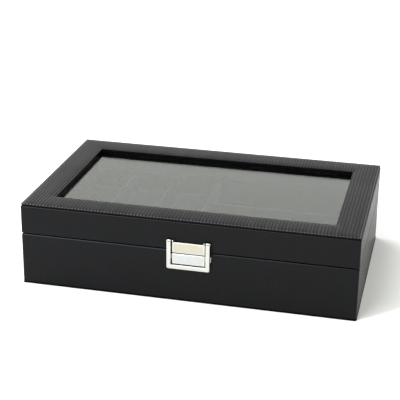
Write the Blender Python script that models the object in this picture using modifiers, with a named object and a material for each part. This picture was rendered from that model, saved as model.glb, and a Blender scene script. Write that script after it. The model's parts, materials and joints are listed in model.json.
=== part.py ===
# Watch box with a glazed, hinged lid: six watch cushions on the left, three
# glasses compartments on the right, and a hasp latch on the front.
# Metres, +Z up, front towards -Y, origin at the centre of the underside.

import math

import bmesh
import bpy
from mathutils import Vector

MM = 0.001

# Driving dimensions, in millimetres.
WIDTH = 335.0
DEPTH = 206.0
HEIGHT = 85.3
SEAM_Z = 54.0            # height of the parting line and of the hinge axis
GAP = 0.3                # clearance between pieces that touch
SKIN = 0.8               # thickness of the leather
BOARD = 9.0              # thickness of the wall boards
CORNER = 1.6             # outer radius of the vertical corners
FLARE = 0.4              # how far the bottom sheet stands out
BOTTOM_SHEET = 1.5
BOTTOM_BOARD = 3.0
LINING = 1.6             # velvet-covered lining card
FLOOR_LINING = 1.5
DIVIDER = 2.5
DIVIDER_TOP = 49.4
WATCH_COLUMNS = 3
LONG_DIVIDER_X = -9.45   # centre of the divider between watches and glasses
WINDOW_X = 140.3         # half width of the opening in the lid's top
WINDOW_Y = 75.0          # half depth of the same opening
GLASS = 2.8
GLASS_LAP = 7.0          # how far the glass runs under the top's border
TOP_BOARD = 3.8
RETAINER = 1.5           # frame that holds the glass from below
SKIRT = 1.1              # how far the top cover's edge is turned down
GROOVE = 0.5             # dark line between the top panel and the side wrap
CUSHION = (45.4, 84.0, 38.1)
CUSHION_ROUND = 13.0

LATCH_X = 3.8
LATCH_HALF = 16.3        # half width of the two latch plates
LATCH_SIDE_GAP = 0.8     # between a plate and the hasp's arm
LATCH_PIVOT_Y = -105.6
LATCH_PIVOT_Z = 64.2
LATCH_PLATE_TOP = 62.95
LATCH_SPLIT = 2.4        # how far below the parting line the two plates meet
LATCH_PLATE_LOW = 40.4
LATCH_EAR = 1.6          # width of the ear that holds each latch pin
LUG_HALF = 22.0          # half span of the catch plate's side lugs
LUG_LOW = 44.8
LATCH_LOW_Z = 35.8
LATCH_ARM = 4.2
LATCH_PLATE = 2.4        # thickness of the two plates
LATCH_EDGE = 0.4         # their rounded edges
HASP = 1.9               # thickness of the hasp
HASP_REACH = 16.0        # from the hasp's lower edge to the middle of its outline
HASP_CORNER = 2.0
LATCH_KNUCKLE_R = 1.5
LATCH_PIN_R = 0.7
LATCH_BORE_R = 1.0
PRONG_R = 0.8
PRONG_DX = 10.0
PRONG_TIP_Y = -98.0
PRONG_LOW_Z = 47.0
PRONG_HIGH_Z = 58.5

HINGE_X = 110.0
HINGE_Y = 105.35
HINGE_HALF = 15.0
HINGE_SPLIT = 5.0
LEAF = 1.2
KNUCKLE_R = 2.0
HINGE_PIN_R = 1.0
SCREW_DX = 9.0
SCREW_DZ = 8.0
SCREW_R = 1.0
SCREW_HEAD_R = 1.9
SCREW_LENGTH = 10.4
SCREW_HOLE_Y = 94.2      # where the screw holes stop inside the back board

# Derived half sizes.
OUT_X, OUT_Y = WIDTH / 2, DEPTH / 2
WRAP_X, WRAP_Y = OUT_X - SKIN, OUT_Y - SKIN
BOARD_X, BOARD_Y = WRAP_X - GAP, WRAP_Y - GAP
INNER_X, INNER_Y = BOARD_X - BOARD, BOARD_Y - BOARD
CARD_X, CARD_Y = INNER_X - GAP, INNER_Y - GAP
TRAY_X, TRAY_Y = CARD_X - LINING, CARD_Y - LINING

BASE_RIM = SEAM_Z - 0.2
LID_RIM = SEAM_Z + 0.2
FLOOR_Z = BOTTOM_SHEET + GAP + BOTTOM_BOARD + GAP
TRAY_Z = FLOOR_Z + FLOOR_LINING + GAP
TOP_UNDER = HEIGHT - SKIN - GAP
GLASS_TOP = TOP_UNDER - TOP_BOARD - GAP
GLASS_LOW = GLASS_TOP - GLASS


for old in list(bpy.data.objects):
    bpy.data.objects.remove(old, do_unlink=True)

parts = bpy.data.collections.new("watch_box")
tools = bpy.data.collections.new("watch_box_tools")
for collection in (parts, tools):
    bpy.context.scene.collection.children.link(collection)


def makeMaterial(name, colour, roughness, metallic=0.0, alpha=1.0):
    material = bpy.data.materials.new(name)
    material.use_nodes = True
    shader = material.node_tree.nodes["Principled BSDF"]
    shader.inputs["Base Color"].default_value = (*colour, 1.0)
    shader.inputs["Roughness"].default_value = roughness
    shader.inputs["Metallic"].default_value = metallic
    shader.inputs["Alpha"].default_value = alpha
    material.diffuse_color = (*colour, alpha)
    return material


LEATHER = makeMaterial("black_leather", (0.030, 0.031, 0.033), 0.55)
SHEET = makeMaterial("bottom_sheet_felt", (0.012, 0.012, 0.012), 0.9)
WOOD = makeMaterial("fibreboard", (0.36, 0.25, 0.15), 0.8)
VELVET = makeMaterial("black_velvet", (0.014, 0.014, 0.015), 0.95)
CUSHION_FABRIC = makeMaterial("cushion_velvet", (0.018, 0.018, 0.020), 0.95)
PANE = makeMaterial("clear_glass", (0.90, 0.93, 0.92), 0.02, alpha=0.35)
CARD = makeMaterial("packing_card", (0.10, 0.10, 0.10), 0.85)
NICKEL = makeMaterial("polished_nickel", (0.80, 0.78, 0.73), 0.12, 1.0)
STEEL = makeMaterial("steel", (0.55, 0.55, 0.55), 0.3, 1.0)


def addPivot(name, position):
    pivot = bpy.data.objects.new(name, None)
    pivot.empty_display_size = 0.01
    pivot.location = Vector(position) * MM
    parts.objects.link(pivot)
    return pivot


def place(name, mesh, position, material=None, parent=None, rotation=(0, 0, 0)):
    """Add an object: a named part when it has a material, else a tool."""
    thing = bpy.data.objects.new(name, mesh)
    thing.location = Vector(position) * MM
    thing.rotation_euler = rotation
    if parent:
        thing.parent = parent
        thing.location -= parent.location
    if material:
        mesh.materials.clear()
        mesh.materials.append(material)
        parts.objects.link(thing)
    else:
        tools.objects.link(thing)
        thing.hide_render = True
        thing.display_type = "WIRE"
    return thing


def boxMesh(name, size):
    mesh = bpy.data.meshes.new(name)
    shape = bmesh.new()
    bmesh.ops.create_cube(shape, size=1.0)
    bmesh.ops.scale(shape, vec=Vector(size) * MM, verts=shape.verts)
    shape.to_mesh(mesh)
    shape.free()
    return mesh


def addBox(name, low, high, material=None, parent=None, bevel=0.0, segments=2):
    size = [b - a for a, b in zip(low, high)]
    centre = [(a + b) / 2 for a, b in zip(low, high)]
    block = place(name, boxMesh(name, size), centre, material, parent)
    if bevel:
        rounding = block.modifiers.new("rounding", "BEVEL")
        rounding.width = bevel * MM
        rounding.segments = segments
        rounding.limit_method = "ANGLE"
    return block


def roundedLoop(half_x, half_y, radius, centre=(0, 0), segments=6):
    """Corner points of a rectangle with rounded corners, anticlockwise."""
    points = []
    for turn, (sx, sy) in enumerate(((1, 1), (-1, 1), (-1, -1), (1, -1))):
        cx, cy = centre[0] + sx * (half_x - radius), centre[1] + sy * (half_y - radius)
        for step in range(segments + 1):
            angle = math.pi / 2 * (turn + step / segments)
            points.append((cx + radius * math.cos(angle), cy + radius * math.sin(angle)))
    return points


def outlineMesh(name, loops, thickness):
    """Flat outline with optional holes, thickened equally to both sides."""
    curve = bpy.data.curves.new(name, "CURVE")
    curve.dimensions = "2D"
    curve.fill_mode = "BOTH"
    curve.extrude = thickness / 2 * MM
    for loop in loops:
        spline = curve.splines.new("POLY")
        spline.points.add(len(loop) - 1)
        for point, (x, y) in zip(spline.points, loop):
            point.co = (x * MM, y * MM, 0, 1)
        spline.use_cyclic_u = True
    drawing = bpy.data.objects.new(name, curve)
    tools.objects.link(drawing)
    graph = bpy.context.evaluated_depsgraph_get()
    mesh = bpy.data.meshes.new_from_object(drawing.evaluated_get(graph))
    bpy.data.objects.remove(drawing)
    bpy.data.curves.remove(curve)
    shape = bmesh.new()
    shape.from_mesh(mesh)
    bmesh.ops.remove_doubles(shape, verts=shape.verts, dist=1e-6)
    bmesh.ops.recalc_face_normals(shape, faces=shape.faces)
    shape.to_mesh(mesh)
    shape.free()
    mesh.name = name
    return mesh


def addFrame(name, z_low, z_high, outer, inner=None, material=None, parent=None):
    """Flat rounded rectangle; outer and inner are (half x, half y, radius)."""
    loops = [roundedLoop(*outer)]
    if inner:
        loops.append(roundedLoop(*inner))
    mesh = outlineMesh(name, loops, z_high - z_low)
    return place(name, mesh, (0, 0, (z_low + z_high) / 2), material, parent)


def rodMesh(name, radius, length, segments=24):
    """Cylinder along X, centred on its own origin."""
    mesh = bpy.data.meshes.new(name)
    shape = bmesh.new()
    bmesh.ops.create_cone(shape, cap_ends=True, segments=segments, radius1=radius * MM,
                          radius2=radius * MM, depth=length * MM)
    bmesh.ops.rotate(shape, verts=shape.verts, cent=(0, 0, 0),
                     matrix=Vector((0, 0, 1)).rotation_difference(Vector((1, 0, 0))).to_matrix())
    shape.to_mesh(mesh)
    shape.free()
    return mesh


def addRod(name, radius, x_low, x_high, y, z, material=None, parent=None, segments=24):
    mesh = rodMesh(name, radius, x_high - x_low, segments)
    return place(name, mesh, ((x_low + x_high) / 2, y, z), material, parent)


def addDepthRod(name, radius, y_low, y_high, x, z, segments=24):
    """Cylinder along Y, used for holes and prongs."""
    mesh = rodMesh(name, radius, y_high - y_low, segments)
    centre = (x, (y_low + y_high) / 2, z)
    return place(name, mesh, centre, rotation=(0, 0, math.pi / 2))


def combine(target, tool, operation):
    step = target.modifiers.new(tool.name, "BOOLEAN")
    step.operation = operation
    step.solver = "EXACT"
    step.object = tool
    return target


def join(target, tool):
    return combine(target, tool, "UNION")


def cut(target, tool):
    return combine(target, tool, "DIFFERENCE")


def smooth(thing, angle=40):
    thing.data.shade_smooth()
    thing.data.set_sharp_from_angle(angle=math.radians(angle))
    return thing


def addTurned(name, profile, material, position, rotation, parent=None, steps=24):
    """Solid of revolution about its own Z from (radius, height) points."""
    mesh = bpy.data.meshes.new(name)
    points = [(radius * MM, 0, height * MM) for radius, height in profile]
    edges = [(i, i + 1) for i in range(len(points) - 1)]
    mesh.from_pydata(points, edges, [])
    thing = place(name, mesh, position, material, parent, rotation)
    turn = thing.modifiers.new("turn", "SCREW")
    turn.axis = "Z"
    turn.steps = steps
    turn.render_steps = steps
    turn.use_merge_vertices = True
    turn.merge_threshold = 1e-6
    turn.use_smooth_shade = True
    turn.use_normal_calculate = True
    return thing


lid_pivot = addPivot("lid_pivot", (0, HINGE_Y, SEAM_Z))
hasp_pivot = addPivot("hasp_pivot", (LATCH_X, LATCH_PIVOT_Y, LATCH_PIVOT_Z))

# Base: bottom sheet, bottom board, four wall boards and the leather wrap.
sheet_outer = (OUT_X + FLARE, OUT_Y + FLARE, CORNER + FLARE)
addFrame("bottom_sheet", 0, BOTTOM_SHEET, sheet_outer, material=SHEET)
addFrame("base_bottom_board", BOTTOM_SHEET + GAP, FLOOR_Z - GAP, (BOARD_X, BOARD_Y, 0.5),
         material=WOOD)


def addWalls(prefix, z_low, z_high, parent=None):
    """Front and back boards run the full width, the sides fit between them."""
    walls = {}
    for side, sign in (("front", -1), ("back", 1)):
        near, far = sorted((sign * INNER_Y, sign * BOARD_Y))
        walls[side] = addBox(f"{prefix}_{side}_board", (-BOARD_X, near, z_low),
                             (BOARD_X, far, z_high), WOOD, parent)
    for side, sign in (("left", -1), ("right", 1)):
        near, far = sorted((sign * INNER_X, sign * BOARD_X))
        walls[side] = addBox(f"{prefix}_{side}_board", (near, -INNER_Y + GAP, z_low),
                             (far, INNER_Y - GAP, z_high), WOOD, parent)
    return walls


def addLinings(prefix, z_low, z_high, parent=None):
    for side, sign in (("left", -1), ("right", 1)):
        near, far = sorted((sign * TRAY_X, sign * CARD_X))
        addBox(f"{prefix}_lining_{side}", (near, -CARD_Y, z_low), (far, CARD_Y, z_high),
               VELVET, parent)
    for side, sign in (("front", -1), ("back", 1)):
        near, far = sorted((sign * TRAY_Y, sign * CARD_Y))
        addBox(f"{prefix}_lining_{side}", (-TRAY_X + GAP, near, z_low),
               (TRAY_X - GAP, far, z_high), VELVET, parent)


def addWrap(name, z_low, z_high, turned_up, parent=None):
    """Leather round the four walls, turned over the rim at the parting line."""
    wrap = addFrame(name, z_low, z_high, (OUT_X, OUT_Y, CORNER), (INNER_X, INNER_Y, 0.5),
                    LEATHER, parent)
    hollow_low, hollow_high = ((z_low - 5, z_high - SKIN) if turned_up
                               else (z_low + SKIN, z_high + 5))
    hollow = addFrame(name + "_hollow", hollow_low, hollow_high,
                      (WRAP_X, WRAP_Y, CORNER - SKIN))
    return smooth(cut(wrap, hollow))


base_walls = addWalls("base", FLOOR_Z, BASE_RIM - SKIN - GAP)
base_wrap = addWrap("base_leather_wrap", BOTTOM_SHEET + GAP, BASE_RIM, True)

# Velvet tray: floor, wall cards and dividers.
addBox("floor_lining", (-CARD_X, -CARD_Y, FLOOR_Z), (CARD_X, CARD_Y, TRAY_Z - GAP), VELVET)
addLinings("base", TRAY_Z, BASE_RIM - 0.4)

long_low, long_high = LONG_DIVIDER_X - DIVIDER / 2, LONG_DIVIDER_X + DIVIDER / 2
slot_width = (long_low + TRAY_X - (WATCH_COLUMNS - 1) * DIVIDER) / WATCH_COLUMNS
column_pitch = slot_width + DIVIDER
lap_z = (TRAY_Z + DIVIDER_TOP) / 2
lap_half = DIVIDER / 2 + GAP

addBox("divider_long", (long_low, -TRAY_Y + GAP, TRAY_Z),
       (long_high, TRAY_Y - GAP, DIVIDER_TOP), VELVET)
watch_row = addBox("divider_watch_row", (-TRAY_X + GAP, -DIVIDER / 2, TRAY_Z),
                   (long_low - GAP, DIVIDER / 2, DIVIDER_TOP), VELVET)
lap_under = addBox("lap_under", (-TRAY_X, -lap_half, TRAY_Z - 5),
                   (long_low, lap_half, lap_z + GAP / 2))
for column in range(1, WATCH_COLUMNS):
    x = -TRAY_X + column * column_pitch - DIVIDER / 2
    divider = addBox(f"divider_watch_column_{column}", (x - DIVIDER / 2, -TRAY_Y + GAP, TRAY_Z),
                     (x + DIVIDER / 2, TRAY_Y - GAP, DIVIDER_TOP), VELVET)
    cut(divider, lap_under)
    cut(watch_row, addBox(f"lap_over_{column}", (x - lap_half, -10, lap_z - GAP / 2),
                          (x + lap_half, 10, DIVIDER_TOP + 5)))

glasses_depth = (2 * TRAY_Y - 2 * DIVIDER) / 3
for number, sign in ((1, -1), (2, 1)):
    y = sign * (glasses_depth + DIVIDER) / 2
    addBox(f"divider_glasses_{number}", (long_high + GAP, y - DIVIDER / 2, TRAY_Z),
           (TRAY_X - GAP, y + DIVIDER / 2, DIVIDER_TOP), VELVET)

# Watch cushions, front row first, from left to right.
cushion_y = (TRAY_Y + DIVIDER / 2) / 2
for row, sign in ((0, -1), (1, 1)):
    for column in range(WATCH_COLUMNS):
        x = -TRAY_X + slot_width / 2 + column * column_pitch
        half = [side / 2 for side in CUSHION]
        centre = (x, sign * cushion_y, TRAY_Z + half[2])
        cushion = addBox(f"watch_cushion_{row * WATCH_COLUMNS + column + 1}",
                         [c - h for c, h in zip(centre, half)],
                         [c + h for c, h in zip(centre, half)],
                         CUSHION_FABRIC, bevel=CUSHION_ROUND, segments=6)
        cushion.data.shade_smooth()

# Lid: four rails, leather wrap, top board, top cover, glass and its frames.
lid_walls = addWalls("lid", LID_RIM + SKIN + GAP, GLASS_TOP, lid_pivot)
lid_wrap = addWrap("lid_leather_wrap", LID_RIM, HEIGHT - SKIRT - GROOVE, False, lid_pivot)
reveal_x, reveal_y = WINDOW_X + SKIN, WINDOW_Y + SKIN
addFrame("lid_top_board", GLASS_TOP + GAP, TOP_UNDER, (BOARD_X, BOARD_Y, 0.5),
         (reveal_x + GAP, reveal_y + GAP, 1.0), WOOD, lid_pivot)
top_cover = addFrame("lid_top_cover", GLASS_TOP + GAP, HEIGHT, (OUT_X, OUT_Y, CORNER),
                     (WINDOW_X, WINDOW_Y, 1.0), LEATHER, lid_pivot)
cut(top_cover, addFrame("cover_hollow", GLASS_TOP - 5, HEIGHT - SKIN,
                        (WRAP_X, WRAP_Y, CORNER - SKIN), (reveal_x, reveal_y, 1.0)))
cut(top_cover, addFrame("skirt_trim", GLASS_TOP - 3, HEIGHT - SKIRT,
                        (OUT_X + 2, OUT_Y + 2, CORNER), (WRAP_X - 2, WRAP_Y - 2, CORNER)))
smooth(top_cover)

pane_x, pane_y = WINDOW_X + GLASS_LAP, WINDOW_Y + GLASS_LAP
addBox("glass_pane", (-pane_x, -pane_y, GLASS_LOW), (pane_x, pane_y, GLASS_TOP), PANE, lid_pivot)
addFrame("glass_packing_frame", GLASS_LOW, GLASS_TOP, (CARD_X, CARD_Y, 0.3),
         (pane_x + GAP, pane_y + GAP, 0.2), CARD, lid_pivot)
retainer_low = GLASS_LOW - GAP - RETAINER
addFrame("glass_retainer_frame", retainer_low, GLASS_LOW - GAP, (CARD_X, CARD_Y, 0.3),
         (WINDOW_X + 1.5, WINDOW_Y + 1.5, 1.0), VELVET, lid_pivot)
addLinings("lid", LID_RIM + 0.4, retainer_low - GAP, lid_pivot)

# Latch: a plate on the lid, a catch plate on the base and a U-shaped hasp.
latch_back, latch_face = -OUT_Y - GAP, -OUT_Y - GAP - LATCH_PLATE
hasp_back, hasp_face = latch_face - GAP, latch_face - GAP - HASP
left, right = LATCH_X - LATCH_HALF, LATCH_X + LATCH_HALF
bore = addRod("latch_bore", LATCH_BORE_R, LATCH_X - 30, LATCH_X + 30, LATCH_PIVOT_Y, LATCH_PIVOT_Z)

catch_top = SEAM_Z - LATCH_SPLIT - 0.45
catch_plate = addBox("latch_catch_plate", (left, latch_face, LATCH_PLATE_LOW),
                     (right, latch_back, catch_top), NICKEL, bevel=LATCH_EDGE)
join(catch_plate, addBox("catch_lugs", (LATCH_X - LUG_HALF, latch_back - LEAF, LUG_LOW),
                         (LATCH_X + LUG_HALF, latch_back - 0.1, catch_top - 0.5), bevel=0.3))

lid_plate = addBox("latch_lid_plate", (left, latch_face, SEAM_Z - LATCH_SPLIT + 0.45),
                   (right, latch_back, LATCH_PLATE_TOP), NICKEL, lid_pivot, bevel=LATCH_EDGE)
ears = (("left", left, left + LATCH_EAR), ("right", right - LATCH_EAR, right))
for side, low, high in ears:
    join(lid_plate, addBox(f"ear_web_{side}", (low + 0.3, latch_face + 0.5, LATCH_PLATE_TOP - 3),
                           (high - 0.3, latch_back - 0.5, LATCH_PIVOT_Z)))
    join(lid_plate, addRod(f"ear_{side}", LATCH_KNUCKLE_R, low + 0.1, high - 0.1, LATCH_PIVOT_Y,
                           LATCH_PIVOT_Z))
cut(lid_plate, bore)

for plate, walls, wrap, z in ((catch_plate, base_walls, base_wrap, PRONG_LOW_Z),
                              (lid_plate, lid_walls, lid_wrap, PRONG_HIGH_Z)):
    for number, x in enumerate((LATCH_X - PRONG_DX, LATCH_X + PRONG_DX)):
        join(plate, addDepthRod(f"prong_{z:.0f}_{number}", PRONG_R, latch_back - 1, PRONG_TIP_Y,
                                x, z, 12))
        hole = addDepthRod(f"prong_hole_{z:.0f}_{number}", PRONG_R + GAP, latch_face - 5,
                           PRONG_TIP_Y + 0.4, x, z, 12)
        cut(walls["front"], hole)
        cut(wrap, hole)

inner_half = LATCH_HALF + LATCH_SIDE_GAP
half_span = inner_half + LATCH_ARM
arm_low, arm_high = LATCH_X - half_span, LATCH_X + half_span
rounded = roundedLoop(half_span, HASP_REACH, HASP_CORNER)
pivot_level = LATCH_PIVOT_Z - LATCH_LOW_Z - HASP_REACH
hasp_outline = [(-half_span, pivot_level)] + [point for point in rounded if point[1] < 0]
hasp_outline += [(half_span, pivot_level), (inner_half, pivot_level),
                 (inner_half, LATCH_ARM - HASP_REACH), (-inner_half, LATCH_ARM - HASP_REACH),
                 (-inner_half, pivot_level)]
hasp = place("latch_hasp", outlineMesh("latch_hasp", [hasp_outline], hasp_back - hasp_face),
             (LATCH_X, (hasp_back + hasp_face) / 2, LATCH_LOW_Z + HASP_REACH), NICKEL, hasp_pivot,
             (math.pi / 2, 0, 0))
for side, low, high in (("left", arm_low, arm_low + LATCH_ARM),
                        ("right", arm_high - LATCH_ARM, arm_high)):
    join(hasp, addRod(f"hasp_knuckle_{side}", LATCH_KNUCKLE_R, low + 0.1, high - 0.1,
                      LATCH_PIVOT_Y, LATCH_PIVOT_Z))
cut(hasp, bore)
for (side, low, high), outside in zip(ears, (arm_low - 0.4, arm_high + 0.4)):
    inside = high + 0.3 if side == "left" else low - 0.3
    pin = addRod(f"latch_pin_{side}", LATCH_PIN_R, min(inside, outside), max(inside, outside),
                 LATCH_PIVOT_Y, LATCH_PIVOT_Z, STEEL, lid_pivot, 16)
    pin.data.shade_smooth()

# Two butt hinges on the back, each with a pin and four screws.
hinge_bore = addRod("hinge_bore", HINGE_PIN_R + 0.35, -WIDTH / 2, WIDTH / 2, HINGE_Y, SEAM_Z)
leaf_back = OUT_Y + GAP
screw_profile = ((0, SCREW_LENGTH), (SCREW_R, SCREW_LENGTH - 0.8), (SCREW_R, 0.8),
                 (SCREW_HEAD_R, 0.8), (SCREW_HEAD_R, 0.5), (1.2, 0.1), (0, 0))
tab = HINGE_SPLIT + GAP
lower_outline = ((-HINGE_HALF, -0.6), (-HINGE_HALF, -12), (HINGE_HALF, -12), (HINGE_HALF, -0.6),
                 (tab, -0.6), (tab, -2.5), (-tab, -2.5), (-tab, -0.6))
upper_outline = ((HINGE_SPLIT, 0.6), (HINGE_SPLIT, 2.5), (HINGE_HALF, 2.7), (HINGE_HALF, 12),
                 (-HINGE_HALF, 12), (-HINGE_HALF, 2.7), (-HINGE_SPLIT, 2.5), (-HINGE_SPLIT, 0.6))
for side, sign in (("left", -1), ("right", 1)):
    x = sign * HINGE_X
    for level, direction, outline, spans, walls, wrap, parent in (
            ("lower", -1, lower_outline, ((-HINGE_HALF, -tab), (tab, HINGE_HALF)),
             base_walls, base_wrap, None),
            ("upper", 1, upper_outline, ((-HINGE_SPLIT, HINGE_SPLIT),),
             lid_walls, lid_wrap, lid_pivot)):
        leaf = place(f"hinge_leaf_{level}_{side}", outlineMesh("leaf", [outline], LEAF),
                     (x, leaf_back + LEAF / 2, SEAM_Z), NICKEL, parent, (math.pi / 2, 0, 0))
        for number, (low, high) in enumerate(spans):
            join(leaf, addRod(f"knuckle_{level}_{side}_{number}", KNUCKLE_R, x + low + 0.1,
                              x + high - 0.1, HINGE_Y, SEAM_Z))
        cut(leaf, hinge_bore)
        for number, dx in enumerate((-SCREW_DX, SCREW_DX)):
            tag = f"{level}_{side}_{number + 1}"
            z = SEAM_Z + direction * SCREW_DZ
            hole = addDepthRod("screw_hole_" + tag, SCREW_R + GAP, SCREW_HOLE_Y,
                               leaf_back + 10, x + dx, z, 16)
            for piece in (leaf, walls["back"], wrap):
                cut(piece, hole)
            addTurned("hinge_screw_" + tag, screw_profile, STEEL,
                      (x + dx, leaf_back + LEAF + GAP + 0.8, z), (math.pi / 2, 0, 0), parent, 16)
    addRod(f"hinge_pin_{side}", HINGE_PIN_R, x - HINGE_HALF - 0.4, x + HINGE_HALF + 0.4,
           HINGE_Y, SEAM_Z, STEEL).data.shade_smooth()
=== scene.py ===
import json
import math

import bpy
import numpy as np
from mathutils import Matrix, Vector


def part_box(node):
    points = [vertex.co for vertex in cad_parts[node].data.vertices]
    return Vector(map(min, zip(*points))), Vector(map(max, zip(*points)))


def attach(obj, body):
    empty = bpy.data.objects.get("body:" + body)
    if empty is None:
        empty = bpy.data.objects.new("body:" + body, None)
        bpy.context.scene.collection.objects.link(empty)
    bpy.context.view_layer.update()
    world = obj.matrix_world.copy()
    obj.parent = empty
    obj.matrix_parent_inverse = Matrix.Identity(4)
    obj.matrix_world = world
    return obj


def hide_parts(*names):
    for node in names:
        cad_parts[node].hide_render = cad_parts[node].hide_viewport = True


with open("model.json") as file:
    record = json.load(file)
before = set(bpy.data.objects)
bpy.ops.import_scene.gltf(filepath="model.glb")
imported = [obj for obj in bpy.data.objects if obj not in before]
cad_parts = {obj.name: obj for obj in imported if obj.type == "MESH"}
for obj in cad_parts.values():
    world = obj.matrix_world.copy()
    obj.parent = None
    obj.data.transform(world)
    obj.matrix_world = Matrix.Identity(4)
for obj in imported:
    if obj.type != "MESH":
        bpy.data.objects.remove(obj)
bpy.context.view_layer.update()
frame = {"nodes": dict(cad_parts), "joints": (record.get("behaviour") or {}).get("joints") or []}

# A watch box: leather-covered walls, a framed glass lid, a hasp latch, watch cushions and
# glasses compartments. Shapes below are in millimetres and become metres in makePiece.

mm = 0.001
scene = bpy.context.scene
print("frame loaded:", len(frame["nodes"]), "nodes")


def boxOf(node):
    low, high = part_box(node)
    return np.array(low) / mm, np.array(high) / mm


# A shell is (points, face blocks), each block an array of equal-sided faces.

def signedVolume(points, blocks):
    total = 0.0
    for faces in blocks:  # each face is a fan of triangles round its first corner
        first = points[faces[:, 0]]
        for k in range(1, faces.shape[1] - 1):
            total += (first * np.cross(points[faces[:, k]], points[faces[:, k + 1]])).sum()
    return total


def closedShell(points, *blocks):
    # a closed shell with a negative volume is inside out, so its faces are reversed
    points = np.asarray(points, float).reshape(-1, 3)
    if signedVolume(points, blocks) < 0:
        blocks = [faces[:, ::-1] for faces in blocks]
    return points, list(blocks)


def gridFaces(rows, cols, wrapRows=False, wrapCols=False):
    # quads between neighbouring grid points, carried round where a direction closes on itself
    row, col = np.meshgrid(np.arange(rows if wrapRows else rows - 1),
                           np.arange(cols if wrapCols else cols - 1), indexing="ij")
    nextRow, nextCol = (row + 1) % rows, (col + 1) % cols
    corners = (row * cols + col, row * cols + nextCol, nextRow * cols + nextCol,
               nextRow * cols + col)
    return np.stack(corners, -1).reshape(-1, 4)


def ringShell(grid):
    # grid of points that closes both ways, like a bent tyre
    rows, cols = grid.shape[:2]
    return closedShell(grid, gridFaces(rows, cols, True, True))


def cappedShell(grid):
    # grid that closes round its columns, with one flat face over its first and last row
    rows, cols = grid.shape[:2]
    ends = np.stack([np.arange(cols)[::-1], np.arange(cols) + (rows - 1) * cols])
    return closedShell(grid, gridFaces(rows, cols, False, True), ends)


def makePiece(name, shells, material, body, replaced=(), sharpAngle=50):
    points = np.concatenate([part for part, _ in shells])
    starts = np.cumsum([0] + [len(part) for part, _ in shells[:-1]])
    faces = []
    for (_, blocks), start in zip(shells, starts):
        for block in blocks:
            faces += (block + start).tolist()
    mesh = bpy.data.meshes.new(name)
    mesh.from_pydata((points * mm).tolist(), [], faces)
    mesh.shade_smooth()
    mesh.set_sharp_from_angle(angle=math.radians(sharpAngle))
    mesh.materials.append(material)
    piece = bpy.data.objects.new(name, mesh)
    scene.collection.objects.link(piece)
    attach(piece, body)
    if replaced:
        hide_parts(*replaced)
    return piece


def repaint(piece, material, chosen):
    # second material on the faces whose centres, in mm, answer to chosen
    piece.data.materials.append(material)
    centres = np.empty(len(piece.data.polygons) * 3)
    piece.data.polygons.foreach_get("center", centres)
    index = chosen(*centres.reshape(-1, 3).T / mm).astype(np.int32)
    piece.data.polygons.foreach_set("material_index", index)


def roundedOutline(corners, steps=5, support=0.15):
    # closed outline through (across, up, radius) corners; each corner becomes a circular arc
    # tangent to both sides, with a support point just before and after it
    outline = []
    count = len(corners)
    for k, (x, y, radius) in enumerate(corners):
        here = np.array((x, y))
        before = np.array(corners[k - 1][:2]) - here
        after = np.array(corners[(k + 1) % count][:2]) - here
        if radius <= 0:
            outline.append(here[None])
            continue
        u, v = before / np.linalg.norm(before), after / np.linalg.norm(after)
        half = math.acos(np.clip(u @ v, -1, 1)) / 2
        reach = radius / math.tan(half)
        centre = here + (u + v) / np.linalg.norm(u + v) * radius / math.sin(half)
        start, stop = here + u * reach - centre, here + v * reach - centre
        sweep = math.pi - 2 * half
        t = np.linspace(0, 1, steps + 1)[:, None]
        arc = (np.sin((1 - t) * sweep) * start + np.sin(t * sweep) * stop) / math.sin(sweep)
        arc += centre
        outline += [(arc[0] + u * support)[None], arc, (arc[-1] + v * support)[None]]
    return np.concatenate(outline)


def rectangleLoop(halfX, halfY, radius, arcSteps=8, sideSteps=40):
    # rounded rectangles, one for each row: quarter circles at the corners and evenly spaced
    # points along the sides; also gives the outward direction of each point
    halfX, halfY, radius = (np.asarray(v, float).reshape(-1, 1) for v in (halfX, halfY, radius))
    angle = np.linspace(0, math.pi / 2, arcSteps + 1)
    share = np.arange(1, sideSteps) / sideSteps
    arcs = []
    for quarter, (sx, sy) in enumerate(((1, 1), (-1, 1), (-1, -1), (1, -1))):
        turn = angle + quarter * math.pi / 2
        arcs.append((sx * (halfX - radius) + radius * np.cos(turn),
                     sy * (halfY - radius) + radius * np.sin(turn), turn))
    xs, ys, turns = [], [], []
    for quarter in range(4):
        x, y, turn = arcs[quarter]
        nextX, nextY, _ = arcs[(quarter + 1) % 4]
        xs += [x, x[:, -1:] * (1 - share) + nextX[:, :1] * share]
        ys += [y, y[:, -1:] * (1 - share) + nextY[:, :1] * share]
        turns += [turn, np.full(len(share), turn[-1])]
    turns = np.concatenate(turns)
    return np.concatenate(xs, 1), np.concatenate(ys, 1), np.cos(turns), np.sin(turns)


def handmade(x, y, z, size):
    # slow unevenness of hand-laid leather: three crossed sine waves, size millimetres high
    return size / 3 * (np.sin(x / 17.0 + 0.9 * np.sin(y / 29.0)) + np.sin(y / 13.0 + z / 7.0 + 1.3)
                       + np.sin((x - y) / 23.0 + z / 11.0 + 4.1))


def sweptFrame(halfX, halfY, radius, z, uneven=0.0, weight=None, **steps):
    # closed profile carried round a rounded rectangle: row k of the profile is the rectangle
    # of half sizes halfX[k], halfY[k] at height z[k]
    x, y, outX, outY = rectangleLoop(halfX, halfY, radius, **steps)
    z = np.broadcast_to(np.asarray(z, float)[:, None], x.shape)
    if weight is not None:
        push = handmade(x, y, z, uneven) * np.asarray(weight)[:, None]
        x, y = x + push * outX, y + push * outY
    return np.stack([x, y, z], -1)


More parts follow.
